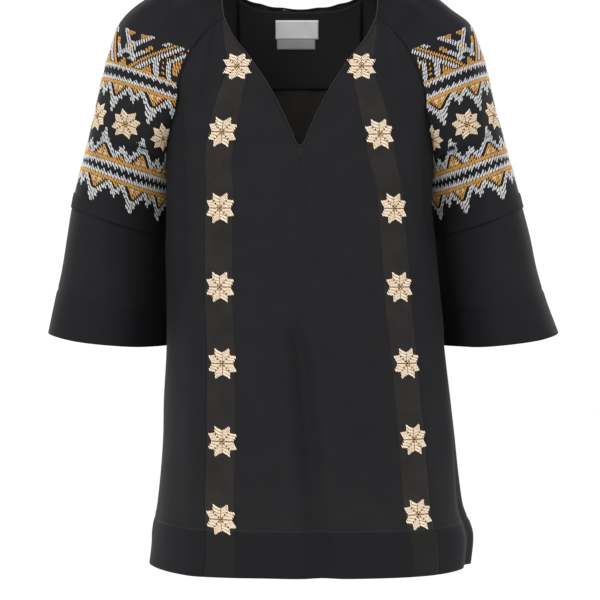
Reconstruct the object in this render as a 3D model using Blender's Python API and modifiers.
"""A black raglan-sleeved folk blouse with a slit V neck, two woven bands down the front and flared lower
sleeves, in the shape that it has when worn, with nobody in it.

Metres, +Z up. The front faces -Y. The origin is midway between the shoulders, at the height where the
neckline crosses them. Left and right are as seen from the front, so left is -X.
"""

import math

import bmesh
import bpy
import numpy as np

# Driving dimensions
CLOTH = 0.0012
SEAM_GAP = 0.0003
HEM_HEIGHT = -0.667
UNDERARM_HEIGHT = -0.215
SQUARENESS = 2.4
BINDING_RADIUS = 0.0011
TUCK_DEPTH = 0.015
TUCK_STANDS_PROUD = 0.0018
CUFF_TUCKED_UNDER = 0.008
FACING_DEPTH = 0.091
FACING_CLOTH = 0.0008
LABEL_WIDTH, LABEL_HEIGHT, LABEL_BELOW_NECK = 0.050, 0.021, 0.012
TAB_WIDTH, TAB_HEIGHT = 0.045, 0.011
LABEL_CLOTH = 0.0006


def table(columns, *rows):
    """Columns of numbers by name, one row for each section."""
    return dict(zip(columns.split(), np.array(rows, float).T))


# The body form from the shoulders to the hem. turn is how far the cloth's centre front has swung towards
# the right, and forward is how far the side seam lies in front of the side.
BODY = table(
    "height half_width middle front back turn forward",
    (0.020, 0.188, 0.000, 0.004, 0.016, 0.000, 0.000),
    (0.000, 0.190, 0.000, 0.016, 0.040, 0.000, 0.000),
    (-0.018, 0.190, 0.000, 0.030, 0.058, 0.000, 0.000),
    (-0.036, 0.190, 0.000, 0.042, 0.075, 0.000, 0.000),
    (-0.063, 0.190, 0.000, 0.057, 0.090, 0.000, 0.000),
    (-0.095, 0.185, 0.000, 0.072, 0.101, 0.000, 0.000),
    (-0.128, 0.175, 0.000, 0.086, 0.107, 0.000, 0.000),
    (-0.155, 0.163, 0.000, 0.095, 0.109, 0.000, 0.000),
    (-0.185, 0.153, 0.000, 0.103, 0.108, 0.000, 0.000),
    (-0.215, 0.149, 0.000, 0.108, 0.106, 0.000, 0.000),
    (-0.260, 0.148, -0.001, 0.112, 0.103, 0.007, 0.002),
    (-0.316, 0.151, 0.001, 0.112, 0.100, 0.007, 0.006),
    (-0.372, 0.153, 0.004, 0.113, 0.100, 0.006, 0.010),
    (-0.422, 0.155, 0.006, 0.116, 0.103, 0.008, 0.013),
    (-0.484, 0.160, 0.008, 0.119, 0.108, 0.009, 0.016),
    (-0.529, 0.163, 0.010, 0.121, 0.112, 0.009, 0.018),
    (-0.596, 0.170, 0.011, 0.124, 0.118, 0.010, 0.021),
    (-0.667, 0.179, 0.011, 0.126, 0.124, 0.015, 0.024),
)

# The woven bands: how far round from the centre front, and half their width.
BAND = table(
    "height middle half_width",
    (-0.060, 0.0755, 0.0102),
    (-0.090, 0.0725, 0.0105),
    (-0.119, 0.0680, 0.0115),
    (-0.155, 0.0765, 0.0145),
    (-0.194, 0.0860, 0.0165),
    (-0.273, 0.0955, 0.0165),
    (-0.356, 0.0985, 0.0165),
    (-0.440, 0.1015, 0.0165),
    (-0.523, 0.1050, 0.0165),
    (-0.604, 0.1090, 0.0165),
    (-0.667, 0.1135, 0.0165),
)

# Edges of the cloth above the underarm: how far out from the centre line, and how high.
FRONT_NECK = table(
    "out height",
    (0.0000, -0.2090),
    (0.0045, -0.2045),
    (0.0116, -0.1880),
    (0.0333, -0.1440),
    (0.0530, -0.1134),
    (0.0755, -0.0824),
    (0.0845, -0.0626),
)
FRONT_RAGLAN = table(
    "out height",
    (0.0845, -0.0626),
    (0.1010, -0.0770),
    (0.1156, -0.0946),
    (0.1300, -0.1280),
    (0.1385, -0.1550),
    (0.1445, -0.1850),
    (0.1480, -0.2050),
    (0.1490, -0.2150),
)
BACK_NECK = table(
    "out height",
    (0.0000, -0.0357),
    (0.0300, -0.0335),
    (0.0500, -0.0300),
    (0.0657, -0.0255),
    (0.0785, -0.0180),
)
BACK_RAGLAN = table(
    "out height",
    (0.0785, -0.0180),
    (0.1030, -0.0500),
    (0.1220, -0.0900),
    (0.1350, -0.1300),
    (0.1435, -0.1700),
    (0.1480, -0.2000),
    (0.1490, -0.2150),
)

# The sleeve, by how far down it: 0 is the neckline, 1 the underarm, 2 the tuck and 3 the hem of the cuff.
# Outer is its outline from the front.
OUTER = table(
    "down height left right back",
    (0.00, 0.000, 0.0920, 0.0920, 0.010),
    (0.12, -0.012, 0.1300, 0.1230, 0.010),
    (0.24, -0.025, 0.1580, 0.1430, 0.010),
    (0.34, -0.036, 0.1758, 0.1577, 0.010),
    (0.42, -0.047, 0.1904, 0.1710, 0.011),
    (0.50, -0.0625, 0.2022, 0.1908, 0.012),
    (0.60, -0.086, 0.2103, 0.2008, 0.012),
    (0.70, -0.108, 0.2168, 0.2078, 0.012),
    (0.80, -0.132, 0.2228, 0.2135, 0.012),
    (0.90, -0.158, 0.2285, 0.2195, 0.012),
    (1.00, -0.186, 0.2365, 0.2275, 0.012),
    (1.50, -0.225, 0.2458, 0.2378, 0.012),
    (2.00, -0.268, 0.2560, 0.2495, 0.012),
    (2.25, -0.3005, 0.2612, 0.2580, 0.012),
    (2.50, -0.335, 0.2665, 0.2650, 0.012),
    (2.75, -0.371, 0.2742, 0.2755, 0.012),
    (3.00, -0.4075, 0.2817, 0.2890, 0.012),
)
# The seam side: heights on the two raglan seams above the underarm, and the inner side of the tube below.
SEAM_HEIGHTS = table(
    "down front back",
    (0.00, -0.0626, -0.018),
    (0.12, -0.0690, -0.032),
    (0.24, -0.0750, -0.047),
    (0.34, -0.0815, -0.061),
    (0.42, -0.0880, -0.074),
    (0.50, -0.0980, -0.089),
    (0.60, -0.1190, -0.112),
    (0.70, -0.1400, -0.135),
    (0.80, -0.1640, -0.160),
    (0.90, -0.1900, -0.188),
    (1.00, -0.2150, -0.215),
)
INNER = table(
    "down height left right back",
    (1.00, -0.2150, 0.1495, 0.1495, 0.000),
    (1.50, -0.2560, 0.1530, 0.1520, 0.008),
    (2.00, -0.3000, 0.1590, 0.1595, 0.012),
    (2.50, -0.3650, 0.1560, 0.1640, 0.012),
    (3.00, -0.4230, 0.1535, 0.1675, 0.012),
)
# Lengths of the handles that round the sleeve off at its outline and at its seam.
ROUNDING = table(
    "down crown seam",
    (0.00, 0.030, 0.036),
    (0.24, 0.040, 0.040),
    (0.50, 0.054, 0.042),
    (0.65, 0.068, 0.030),
    (0.80, 0.078, 0.018),
    (0.90, 0.082, 0.034),
    (0.96, 0.083, 0.056),
    (1.00, 0.083, 0.074),
    (1.30, 0.083, 0.080),
    (2.00, 0.086, 0.086),
    (3.00, 0.104, 0.104),
)
FOLD_STARTS, FOLD_FULL = 0.45, 1.0

# Folds: where each line of a fold starts and ends, how wide it is there, and how far it stands out.
# A negative rise is a trough. Round is the distance from the centre line, positive towards the right.
FOLD_COLUMNS = "top_height top_round top_width low_height low_round low_width rise"
FRONT_FOLDS = table(
    FOLD_COLUMNS,
    (-0.030, -0.0835, 0.0040, -0.235, -0.1180, 0.0130, -0.0040),
    (-0.045, -0.0905, 0.0035, -0.190, -0.1300, 0.0100, 0.0022),
    (-0.050, -0.0990, 0.0045, -0.205, -0.1400, 0.0110, -0.0030),
    (-0.030, 0.0835, 0.0040, -0.225, 0.1130, 0.0120, -0.0036),
    (-0.045, 0.0900, 0.0035, -0.185, 0.1260, 0.0100, 0.0020),
    (-0.050, 0.0985, 0.0045, -0.215, 0.1370, 0.0110, -0.0030),
    (-0.120, -0.1440, 0.0120, -0.400, -0.1560, 0.0200, -0.0085),
    (-0.140, 0.1500, 0.0110, -0.360, 0.1660, 0.0180, -0.0050),
    (-0.205, 0.0000, 0.0030, -0.330, 0.0010, 0.0050, -0.0012),
    (-0.395, -0.0160, 0.0150, -0.667, -0.0020, 0.0200, -0.0060),
    (-0.340, 0.0150, 0.0180, -0.667, 0.0340, 0.0260, 0.0045),
    (-0.400, 0.1850, 0.0120, -0.667, 0.1930, 0.0140, -0.0045),
    (-0.300, 0.1600, 0.0160, -0.640, 0.1760, 0.0240, 0.0040),
    (-0.330, -0.1320, 0.0150, -0.667, -0.1420, 0.0200, 0.0030),
    (-0.480, -0.0700, 0.0200, -0.667, -0.0640, 0.0280, -0.0030),
)
BACK_FOLDS = table(
    FOLD_COLUMNS,
    (-0.012, -0.0660, 0.0060, -0.170, -0.0900, 0.0120, 0.0030),
    (-0.012, -0.0470, 0.0055, -0.150, -0.0610, 0.0110, 0.0024),
    (-0.012, -0.0260, 0.0060, -0.185, -0.0320, 0.0130, 0.0032),
    (-0.012, -0.0040, 0.0055, -0.140, -0.0050, 0.0110, 0.0022),
    (-0.012, 0.0190, 0.0060, -0.180, 0.0240, 0.0130, 0.0030),
    (-0.012, 0.0430, 0.0055, -0.155, 0.0560, 0.0120, 0.0026),
    (-0.012, 0.0650, 0.0060, -0.175, 0.0880, 0.0120, 0.0030),
    (-0.200, -0.0900, 0.0180, -0.667, -0.1080, 0.0280, -0.0070),
    (-0.240, -0.0250, 0.0200, -0.667, -0.0360, 0.0300, 0.0060),
    (-0.230, 0.0440, 0.0180, -0.667, 0.0500, 0.0270, -0.0065),
    (-0.260, 0.1060, 0.0200, -0.667, 0.1250, 0.0280, 0.0055),
)
# Gathers where the sleeve meets the neck, by share of the way from the front seam to the back seam.
SLEEVE_GATHERS = table(
    "round width reach depth",
    (0.14, 0.030, 0.30, 0.0022),
    (0.27, 0.028, 0.40, 0.0030),
    (0.39, 0.026, 0.30, 0.0026),
    (0.52, 0.030, 0.36, 0.0034),
    (0.64, 0.026, 0.30, 0.0026),
    (0.76, 0.028, 0.42, 0.0030),
    (0.87, 0.028, 0.30, 0.0022),
)
# Soft flutes in the cuff, deepest at its hem.
CUFF_FLUTES = table(
    "round width rise",
    (0.10, 0.060, -0.0040),
    (0.22, 0.070, 0.0050),
    (0.35, 0.060, -0.0035),
    (0.62, 0.080, 0.0045),
    (0.76, 0.060, -0.0045),
    (0.90, 0.060, 0.0040),
)


def smooth(at, known, values):
    """A cubic through the known values that doesn't overshoot between them."""
    order = np.argsort(known)
    x, y = np.asarray(known)[order], np.asarray(values)[order]
    width = np.diff(x)
    slope = np.diff(y) / width
    product = slope[1:] * slope[:-1]
    total = np.where(product > 0, slope[1:] + slope[:-1], 1)
    tangent = np.concatenate(([slope[0]], np.where(product > 0, 2 * product / total, 0), [slope[-1]]))
    at = np.clip(at, x[0], x[-1])
    i = np.clip(np.searchsorted(x, at) - 1, 0, len(width) - 1)
    u = (at - x[i]) / width[i]
    start = (1 + 2 * u) * (1 - u) ** 2 * y[i] + u * (1 - u) ** 2 * width[i] * tangent[i]
    end = u**2 * (3 - 2 * u) * y[i + 1] + u**2 * (u - 1) * width[i] * tangent[i + 1]
    return start + end


def look_up(chart, column, at, by="height"):
    return smooth(at, chart[by], chart[column])


def step(value):
    """0 below 0, 1 above 1, and an even S between them."""
    u = np.clip(value, 0, 1)
    return u * u * (3 - 2 * u)


def unit(vector):
    return vector / np.linalg.norm(vector)


RING_STEPS = 320
RING_TURN = np.linspace(-math.pi, math.pi, RING_STEPS + 1)


def ring(height):
    """The body form at one height: points from the centre back round by the left and the front, and how
    far round each of them is."""
    power = 2 / SQUARENESS
    sine, cosine = np.sin(RING_TURN), np.cos(RING_TURN)
    across = look_up(BODY, "half_width", height)
    front, back = look_up(BODY, "front", height), look_up(BODY, "back", height)
    x = look_up(BODY, "middle", height) + across * np.sign(sine) * abs(sine) ** power
    y = -np.where(cosine > 0, front, back) * np.sign(cosine) * abs(cosine) ** power
    round_it = np.concatenate(([0], np.cumsum(np.hypot(np.diff(x), np.diff(y)))))
    return x, y, round_it


def ring_marks(height):
    """How far round the ring the left side, the centre front and the right side are, and all of it."""
    quarter = RING_STEPS // 4
    round_it = ring(height)[2]
    return round_it[quarter], round_it[2 * quarter], round_it[3 * quarter], round_it[-1]


def fold_rise(folds, height, round_it):
    """How far the folds lift the cloth at one place."""
    span = folds["low_height"] - folds["top_height"]
    share = (height - folds["top_height"]) / span
    middle = folds["top_round"] + share * (folds["low_round"] - folds["top_round"])
    width = folds["top_width"] + share * (folds["low_width"] - folds["top_width"])
    runs_out = np.where(folds["low_height"] > HEM_HEIGHT, step((1 - share) / 0.35), 1)
    lasting = step(share / 0.12) * runs_out
    bell = np.exp(-(((round_it - middle) / np.maximum(width, 0.002)) ** 2))
    return float(np.sum(folds["rise"] * lasting * bell * (share > 0) * (share < 1.001)))


def form_point(face, height, round_it, fold=True):
    """A point of the body form, by how far round it is from the centre front or the centre back."""
    x, y, along = ring(height)
    if face == "front":
        at = along[RING_STEPS // 2] + look_up(BODY, "turn", height) + round_it
    else:
        at = -round_it % along[-1]
    point = np.array([np.interp(at, along, x), np.interp(at, along, y), height])
    if fold:
        ahead, behind = at + 0.002, at - 0.002
        tangent = np.array(
            [
                np.interp(ahead % along[-1], along, x) - np.interp(behind % along[-1], along, x),
                np.interp(ahead % along[-1], along, y) - np.interp(behind % along[-1], along, y),
            ]
        )
        outwards = np.array([tangent[1], -tangent[0], 0]) / np.hypot(*tangent)
        folds = FRONT_FOLDS if face == "front" else BACK_FOLDS
        point = point + outwards * fold_rise(folds, height, round_it)
    return point


def round_of(face, height, out):
    """How far round from the centre line the form is this far out to the right, at this height."""
    x, _, along = ring(height)
    quarter = RING_STEPS // 4
    x = x - look_up(BODY, "middle", height)
    if face == "front":
        part = slice(2 * quarter, 3 * quarter + 1)
        return np.interp(out, x[part], along[part] - along[2 * quarter])
    part = slice(3 * quarter, 4 * quarter + 1)
    return along[-1] - np.interp(-out, -x[part], along[part])


def side_seam(face, side, heights):
    """Where the side seam runs, by distance round from the centre line of the front or the back."""
    marks = np.array([ring_marks(height) for height in np.atleast_1d(heights)])
    forward, turn = look_up(BODY, "forward", heights), look_up(BODY, "turn", heights)
    if face == "front":
        place = side * (marks[:, 2] - marks[:, 1] - forward) - turn
    else:
        place = side * (marks[:, 3] - marks[:, 2] + forward)
    return place if np.ndim(heights) else place[0]


def band_edge(side, which, height):
    """The inner edge of a band where which is -1 and its outer edge where it is 1."""
    return side * (
        look_up(BAND, "middle", height) + which * look_up(BAND, "half_width", height)
    )


EDGE_STEPS = 90


def half_edge(face, charts, inset):
    """The right half of the cloth's top edge, as how far round and how high, moved into the cloth."""
    places = []
    for chart in charts:
        rows = np.arange(len(chart["height"]))
        row = np.linspace(0, rows[-1], EDGE_STEPS)
        out, up = smooth(row, rows, chart["out"]), smooth(row, rows, chart["height"])
        places += [(round_of(face, high, wide), high) for wide, high in zip(out, up)]
    places = np.array(places)
    places = places[np.concatenate(([True], np.any(np.diff(places, axis=0) != 0, axis=1)))]
    ahead = np.gradient(places, axis=0)
    ahead /= np.linalg.norm(ahead, axis=1, keepdims=True)
    places = places + inset * np.stack((ahead[:, 1], -ahead[:, 0]), axis=1)
    return places[places[:, 0] > 0] if charts[0] is FRONT_NECK else places


def top_edge(face, inset=1.5 * SEAM_GAP):
    """The whole top edge from the left underarm, up the raglan seam, along the neck and down again."""
    charts = (FRONT_NECK, FRONT_RAGLAN) if face == "front" else (BACK_NECK, BACK_RAGLAN)
    right = half_edge(face, charts, inset)
    return np.concatenate((right[::-1] * (-1, 1), right))


def mesh_object(name, mesh, material):
    obj = bpy.data.objects.new(name, mesh)
    mesh.materials.append(material)
    BLOUSE.objects.link(obj)
    return obj


def sheet(name, points, thickness, material):
    """A wall of cloth inside a grid of points: rows run down the cloth, and the outside is on the left
    hand of a row and the right of a column."""
    rows, columns = points.shape[:2]
    bm = bmesh.new()
    bmesh.ops.create_grid(bm, x_segments=columns - 1, y_segments=rows - 1, size=0.5)
    bm.verts.ensure_lookup_table()
    for vert, place in zip(bm.verts, points.reshape(-1, 3)):
        vert.co = place
    bmesh.ops.reverse_faces(bm, faces=bm.faces)
    mesh = bpy.data.meshes.new(name)
    bm.to_mesh(mesh)
    bm.free()
    mesh.shade_smooth()
    obj = mesh_object(name, mesh, material)
    wall = obj.modifiers.new("Cloth", "SOLIDIFY")
    wall.thickness = thickness
    wall.offset = -1
    return obj


def cloth_material(name, colour, roughness):
    material = bpy.data.materials.new(name)
    material.use_nodes = True
    shader = material.node_tree.nodes["Principled BSDF"]
    shader.inputs["Base Color"].default_value = (*colour, 1)
    shader.inputs["Roughness"].default_value = roughness
    shader.inputs["Metallic"].default_value = 0
    material.diffuse_color = (*colour, 1)
    return material


def panel_points(face, left_line, right_line, columns, rows, part=0):
    """A grid of points between two lines down the body, from the neck and raglan edges to the hem."""
    edge = top_edge(face)
    if part:
        edge = edge[edge[:, 0] * part > 0]
    left, right = left_line(edge[:, 1]), right_line(edge[:, 1])
    across = (edge[:, 0] - left) / (right - left)
    further = across > np.concatenate(([-np.inf], np.maximum.accumulate(across)[:-1]))
    points = np.zeros((rows, columns, 3))
    evenly_across = np.linspace(-1, 1, columns)
    shares = 0.5 + evenly_across * (0.4 + 0.1 * evenly_across**2)
    for j, share in enumerate(shares):
        top = np.interp(share, across[further], edge[further, 1])
        for i, down in enumerate(np.linspace(0, 1, rows)):
            height = top + (HEM_HEIGHT - top) * (0.45 * down + 0.55 * down**2)
            left, right = left_line(height), right_line(height)
            clear = SEAM_GAP / 2 / (right - left)
            place = left + np.clip(share, clear, 1 - clear) * (right - left)
            points[i, j] = form_point(face, height, place)
    return points if face == "front" else points[:, ::-1]


def seam_point(face, side, height):
    """A point on the raglan seam."""
    raglan = FRONT_RAGLAN if face == "front" else BACK_RAGLAN
    place = round_of(face, height, look_up(raglan, "out", height))
    return form_point(face, height, side * place), side * place


def seam_normal(face, side, height, place):
    """Which way the unfolded body form faces at a place."""
    around = form_point(face, height, place + 0.002, False) - form_point(face, height, place - 0.002, False)
    down = form_point(face, height - 0.002, place, False) - form_point(face, height + 0.002, place, False)
    return unit(np.cross(down, around)) * (1 if face == "front" else -1)


BEZIER = np.linspace(0, 1, 33)[:, None]


def bezier(start, first, second, end):
    u = BEZIER
    return (
        (1 - u) ** 3 * start + 3 * u * (1 - u) ** 2 * first + 3 * u**2 * (1 - u) * second + u**3 * end
    )


def sleeve_line(side, down):
    """The line round the sleeve at one place down it, from the front seam over the outside to the back."""
    width = "left" if side < 0 else "right"
    outer = np.array(
        [
            side * look_up(OUTER, width, down, "down"),
            look_up(OUTER, "back", down, "down"),
            look_up(OUTER, "height", down, "down"),
        ]
    )
    crown = look_up(ROUNDING, "crown", down, "down")
    handle = look_up(ROUNDING, "seam", down, "down")
    halves = []
    for face, forwards in (("front", -1), ("back", 1)):
        facing = np.array([0, forwards, 0])
        if down < 1:
            height = look_up(SEAM_HEIGHTS, face, down, "down")
            seam, place = seam_point(face, side, height)
            normal = seam_normal(face, side, height, place)
            towards = outer - seam
            along = unit(towards - normal * np.dot(towards, normal))
            folded = step((down - FOLD_STARTS) / (FOLD_FULL - FOLD_STARTS))
            leaving = unit((1 - folded) * along + folded * facing)
        else:
            seam = np.array(
                [
                    side * look_up(INNER, width, down, "down"),
                    look_up(INNER, "back", down, "down"),
                    look_up(INNER, "height", down, "down"),
                ]
            )
            leaving = facing
        halves.append(bezier(seam, seam + handle * leaving, outer + crown * facing, outer))
    line = np.concatenate((halves[0], halves[1][-2::-1]))
    along = np.concatenate(([0], np.cumsum(np.linalg.norm(np.diff(line, axis=0), axis=1))))
    return line, along


def sleeve_points(side, downs, columns, proud):
    """A grid of points on the sleeve. proud gives how far the cloth stands off its line at a place."""
    rows = []
    for down in downs:
        line, along = sleeve_line(side, down)
        clear = SEAM_GAP / 2 / along[-1]
        at = np.linspace(clear, 1 - clear, columns) * along[-1]
        rows.append(np.stack([np.interp(at, along, line[:, k]) for k in range(3)], axis=1))
    points = np.array(rows)
    normals = np.cross(np.gradient(points, axis=0), np.gradient(points, axis=1))
    normals /= np.linalg.norm(normals, axis=2, keepdims=True)
    lift = np.array([[proud(down, share) for share in np.linspace(0, 1, columns)] for down in downs])
    # The line runs round the two sleeves opposite ways.
    return points + normals * lift[:, :, None] * side


def sleeve_proud(down, share):
    """Gathers at the neck, and the tuck that stands over the top of the cuff."""
    sunk = SLEEVE_GATHERS["depth"] * step(1 - down / SLEEVE_GATHERS["reach"])
    bell = np.exp(-(((share - SLEEVE_GATHERS["round"]) / SLEEVE_GATHERS["width"]) ** 2))
    in_tuck = step((down - TUCK_STARTS) / (2 - TUCK_STARTS) * 6)
    return -float(np.sum(sunk * bell)) + TUCK_STANDS_PROUD * in_tuck


def cuff_proud(down, share):
    """Flutes that open towards the hem."""
    bell = np.exp(-(((share - CUFF_FLUTES["round"]) / CUFF_FLUTES["width"]) ** 2))
    return float(np.sum(CUFF_FLUTES["rise"] * bell)) * step((down - 2.1) / 0.9)


SLEEVE_DROP = 0.082
TUCK_STARTS = 2 - TUCK_DEPTH / SLEEVE_DROP
CUFF_STARTS = 2 - CUFF_TUCKED_UNDER / SLEEVE_DROP


def make_sleeve(side, name, material):
    downs = np.concatenate(
        (
            np.linspace(0, 0.5, 8)[:-1],
            np.linspace(0.5, 1, 7)[:-1],
            np.linspace(1, TUCK_STARTS - 0.02, 5)[:-1],
            (TUCK_STARTS - 0.02, TUCK_STARTS + 0.04, 2),
        )
    )
    points = sleeve_points(side, downs, 29, sleeve_proud)
    return sheet(name, points if side > 0 else points[:, ::-1], CLOTH, material)


def make_cuff(side, name, material):
    points = sleeve_points(side, np.linspace(CUFF_STARTS, 3, 8), 29, cuff_proud)
    return sheet(name, points if side > 0 else points[:, ::-1], CLOTH, material)


def neck_path():
    """The middle of the binding: up the right side of the slit, round the back and down the left side."""
    away = -(SEAM_GAP + BINDING_RADIUS)
    front = [lay("front", place, up, CLOTH / 2) for place, up in half_edge("front", (FRONT_NECK,), away)]
    back = [lay("back", place, up, CLOTH / 2) for place, up in half_edge("back", (BACK_NECK,), away)]
    edge, below = sleeve_line(1, 0)[0], sleeve_line(1, 0.05)[0]
    rise = (edge - below) / np.linalg.norm(edge - below, axis=1, keepdims=True)
    ahead = np.gradient(edge, axis=0)
    ahead /= np.linalg.norm(ahead, axis=1, keepdims=True)
    shoulder = edge + np.cross(rise, ahead) * CLOTH / 2 - rise * away
    half = np.array(front + list(shoulder[3:-3]) + back[::-1])
    foot = half[0] * (0, 1, 1) + (0, 0, 0.0018)
    return np.concatenate(([foot], half, half[-2::-1] * (-1, 1, 1)))


def evenly(path, steps):
    """The same closed line with its points evenly apart, its first point kept."""
    loop = np.concatenate((path, path[:1]))
    along = np.concatenate(([0], np.cumsum(np.linalg.norm(np.diff(loop, axis=0), axis=1))))
    at = np.linspace(0, along[-1], steps, endpoint=False)
    return np.stack([np.interp(at, along, loop[:, k]) for k in range(3)], axis=1)


def make_binding(material):
    """The narrow binding rolled over the neck edge, as a closed tube."""
    curve = bpy.data.curves.new("neck_binding", "CURVE")
    curve.dimensions = "3D"
    curve.bevel_depth = BINDING_RADIUS
    curve.bevel_resolution = 1
    spline = curve.splines.new("POLY")
    places = evenly(neck_path(), 110)
    spline.points.add(len(places) - 1)
    for point, place in zip(spline.points, places):
        point.co = (*place, 1)
    spline.use_cyclic_u = True
    curve.materials.append(material)
    BLOUSE.objects.link(bpy.data.objects.new("neck_binding", curve))


def lay(face, place, height, depth):
    """A point this deep below the outside of the unfolded cloth."""
    around = form_point(face, height, place + 0.002, False) - form_point(face, height, place - 0.002, False)
    down = form_point(face, height - 0.002, place, False) - form_point(face, height + 0.002, place, False)
    outwards = unit(np.cross(down, around)) * (1 if face == "front" else -1)
    return form_point(face, height, place, False) - outwards * depth


def inside_back(name, middle, width, tops, bottoms, depth, columns, rows, thickness, material):
    """A flat piece that lies on the inside of the back."""
    points = np.zeros((rows, columns, 3))
    shares = np.linspace(-1, 1, columns)
    for j, (share, top, bottom) in enumerate(zip(shares, tops(shares), bottoms(shares))):
        for i, down in enumerate(np.linspace(0, 1, rows)):
            height = top + (bottom - top) * down
            points[i, j] = lay("back", middle + share * width / 2, height, depth)
    return sheet(name, points[:, ::-1], thickness, material)


# Scene
for old in list(bpy.data.objects):
    bpy.data.objects.remove(old)
BLOUSE = bpy.data.collections.new("Blouse")
bpy.context.scene.collection.children.link(BLOUSE)

BLACK = cloth_material("black_cloth", (0.016, 0.016, 0.018), 0.85)
BAND_WEAVE = cloth_material("band_weave", (0.026, 0.023, 0.020), 0.8)
EMBROIDERED = cloth_material("sleeve_cloth", (0.018, 0.017, 0.018), 0.85)
LABEL_WHITE = cloth_material("label_white", (0.75, 0.75, 0.74), 0.5)
LABEL_GREY = cloth_material("label_grey", (0.42, 0.42, 0.42), 0.45)



def down_front(side, edge):
    """The line down the front at the inner edge of a band, -1, or at its outer edge, 1."""
    return lambda height: band_edge(side, edge, height)


PANELS = (
    ("front_centre", "front", down_front(-1, -1), down_front(1, -1), 25, 0, BLACK),
    ("band_left", "front", down_front(-1, 1), down_front(-1, -1), 4, -1, BAND_WEAVE),
    ("band_right", "front", down_front(1, -1), down_front(1, 1), 4, 1, BAND_WEAVE),
    ("front_side_left", "front", lambda z: side_seam("front", -1, z), down_front(-1, 1), 15, -1, BLACK),
    ("front_side_right", "front", down_front(1, 1), lambda z: side_seam("front", 1, z), 15, 1, BLACK),
    ("back", "back", lambda z: side_seam("back", -1, z), lambda z: side_seam("back", 1, z), 41, 0, BLACK),
)
for panel, face, left_line, right_line, columns, part, material in PANELS:
    sheet(panel, panel_points(face, left_line, right_line, columns, 22, part), CLOTH, material)
for side, hand in ((-1, "left"), (1, "right")):
    make_sleeve(side, "sleeve_" + hand, EMBROIDERED)
    make_cuff(side, "cuff_" + hand, BLACK)
make_binding(BLACK)
FACING_AT = CLOTH + 2 * SEAM_GAP
LABEL_AT = FACING_AT + FACING_CLOTH + 2 * SEAM_GAP
inside_back(
    "back_facing", 0, 0.140, lambda s: -0.0375 + 0.013 * s**4, lambda s: -0.125 + 0.016 * s**6,
    FACING_AT, 15, 10, FACING_CLOTH, BLACK,
)
inside_back(
    "label", -0.0035, LABEL_WIDTH, lambda s: -0.047 + 0 * s, lambda s: -0.068 + 0 * s,
    LABEL_AT, 7, 4, LABEL_CLOTH, LABEL_WHITE,
)
inside_back(
    "size_tab", -0.0046, TAB_WIDTH, lambda s: -0.0685 + 0 * s, lambda s: -0.0795 + 0 * s,
    LABEL_AT, 7, 3, LABEL_CLOTH, LABEL_GREY,
)
